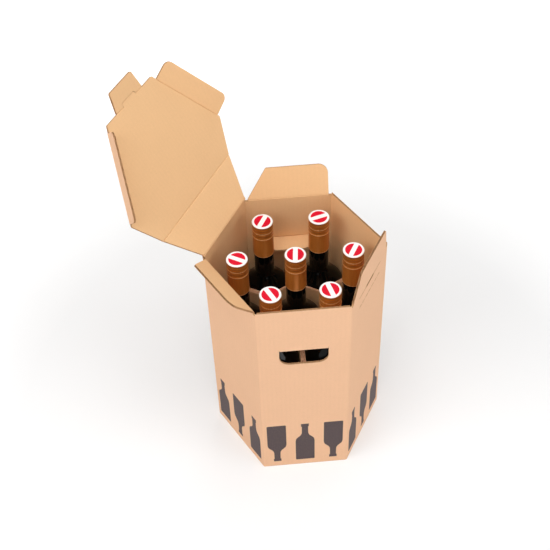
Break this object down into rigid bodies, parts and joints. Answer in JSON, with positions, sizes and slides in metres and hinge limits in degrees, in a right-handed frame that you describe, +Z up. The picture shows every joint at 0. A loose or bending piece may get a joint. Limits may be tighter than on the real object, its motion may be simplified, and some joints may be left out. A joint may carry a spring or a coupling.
{
  "type": "bottle shipping box",
  "caption": "Hexagonal corrugated shipping box with a hinged tuck-in lid, rim flaps, hand holes and folded partitions, holding tall capped bottles.",
  "frame": {"origin": "centre of the underside of the box", "axes": "+Z up, -Y out of the plain wall with the front hand hole, lid hinged on the wall that faces 150 degrees from +X"},
  "size_m": [0.3626, 0.33, 0.5713],
  "materials": {
    "box_board": "kraft liner, matt",
    "divider_board": "kraft liner, matt",
    "bottle_glass": "dark glass, full bottle",
    "cap_metal": "copper lacquer, satin"
  },
  "bodies": {
    "carton": {"carton": "box_board", "divider_1": "divider_board", "divider_2": "divider_board", "divider_3": "divider_board", "divider_4": "divider_board", "divider_5": "divider_board", "divider_6": "divider_board", "bottle_1": "bottle_glass", "bottle_2": "bottle_glass", "bottle_3": "bottle_glass", "bottle_4": "bottle_glass", "bottle_5": "bottle_glass", "bottle_6": "bottle_glass", "bottle_7": "bottle_glass", "cap_1": "cap_metal", "cap_2": "cap_metal", "cap_3": "cap_metal", "cap_4": "cap_metal", "cap_5": "cap_metal", "cap_6": "cap_metal", "cap_7": "cap_metal"},
    "lid_hinge_panel": {"lid_hinge_panel": "box_board"},
    "lid_panel": {"lid_panel": "box_board"},
    "right_tuck_flap": {"right_tuck_flap": "box_board"},
    "front_tuck_flap": {"front_tuck_flap": "box_board"},
    "lock_tab": {"lock_tab": "box_board"},
    "rear_flap": {"rear_flap": "box_board"},
    "left_flap": {"left_flap": "box_board"},
    "lock_flap": {"lock_flap": "box_board"},
    "front_handle_flap": {"front_handle_flap": "box_board"},
    "rear_handle_flap": {"rear_handle_flap": "box_board"}
  },
  "joints": [
    {"name": "lid_hinge", "type": "hinge", "parent": "carton", "child": "lid_hinge_panel", "pos_m": [-0.09478, 0.05472, 0.3629], "axis": [-0.5, -0.866, 0], "range_deg": [-133, 72]},
    {"name": "lid_crease", "type": "hinge", "parent": "lid_hinge_panel", "child": "lid_panel", "pos_m": [-0.12904, 0.0745, 0.40532], "axis": [-0.5, -0.866, 0], "range_deg": [-6, 10.5]},
    {"name": "right_tuck_fold", "type": "hinge", "parent": "lid_panel", "child": "right_tuck_flap", "pos_m": [-0.13173, 0.1821, 0.49343], "axis": [-0.653, -0.2004, 0.7304], "range_deg": [-77, 48]},
    {"name": "front_tuck_fold", "type": "hinge", "parent": "lid_panel", "child": "front_tuck_flap", "pos_m": [-0.22357, 0.02303, 0.49343], "axis": [0.153, -0.6657, -0.7304], "range_deg": [-45, 60]},
    {"name": "lock_tab_fold", "type": "hinge", "parent": "lid_panel", "child": "lock_tab", "pos_m": [-0.20577, 0.1188, 0.54439], "axis": [-0.5, -0.866, 0], "range_deg": [-80, 10]},
    {"name": "rear_flap_fold", "type": "hinge", "parent": "carton", "child": "rear_flap", "pos_m": [0, 0.10945, 0.3586], "axis": [-1, 0, 0], "range_deg": [-110, 70]},
    {"name": "left_flap_fold", "type": "hinge", "parent": "carton", "child": "left_flap", "pos_m": [-0.09478, -0.05472, 0.3586], "axis": [0.5, -0.866, 0], "range_deg": [-133, 47]},
    {"name": "lock_flap_fold", "type": "hinge", "parent": "carton", "child": "lock_flap", "pos_m": [0.09478, -0.05472, 0.3586], "axis": [0.5, 0.866, 0], "range_deg": [-95, 55]},
    {"name": "front_handle_fold", "type": "hinge", "parent": "carton", "child": "front_handle_flap", "pos_m": [0, -0.10945, 0.279], "axis": [1, 0, 0], "range_deg": [-112, 6]},
    {"name": "rear_handle_fold", "type": "hinge", "parent": "carton", "child": "rear_handle_flap", "pos_m": [0, 0.10945, 0.279], "axis": [-1, 0, 0], "range_deg": [-90, 28]}
  ],
  "couplings": [
    {"joint": "lid_crease", "follows": "lid_hinge", "ratio": -0.078947},
    {"joint": "right_tuck_fold", "follows": "lid_hinge", "ratio": 0.57895},
    {"joint": "front_tuck_fold", "follows": "lid_hinge", "ratio": 0.33835},
    {"joint": "lock_flap_fold", "follows": "lid_hinge", "ratio": 0.71429}
  ]
}
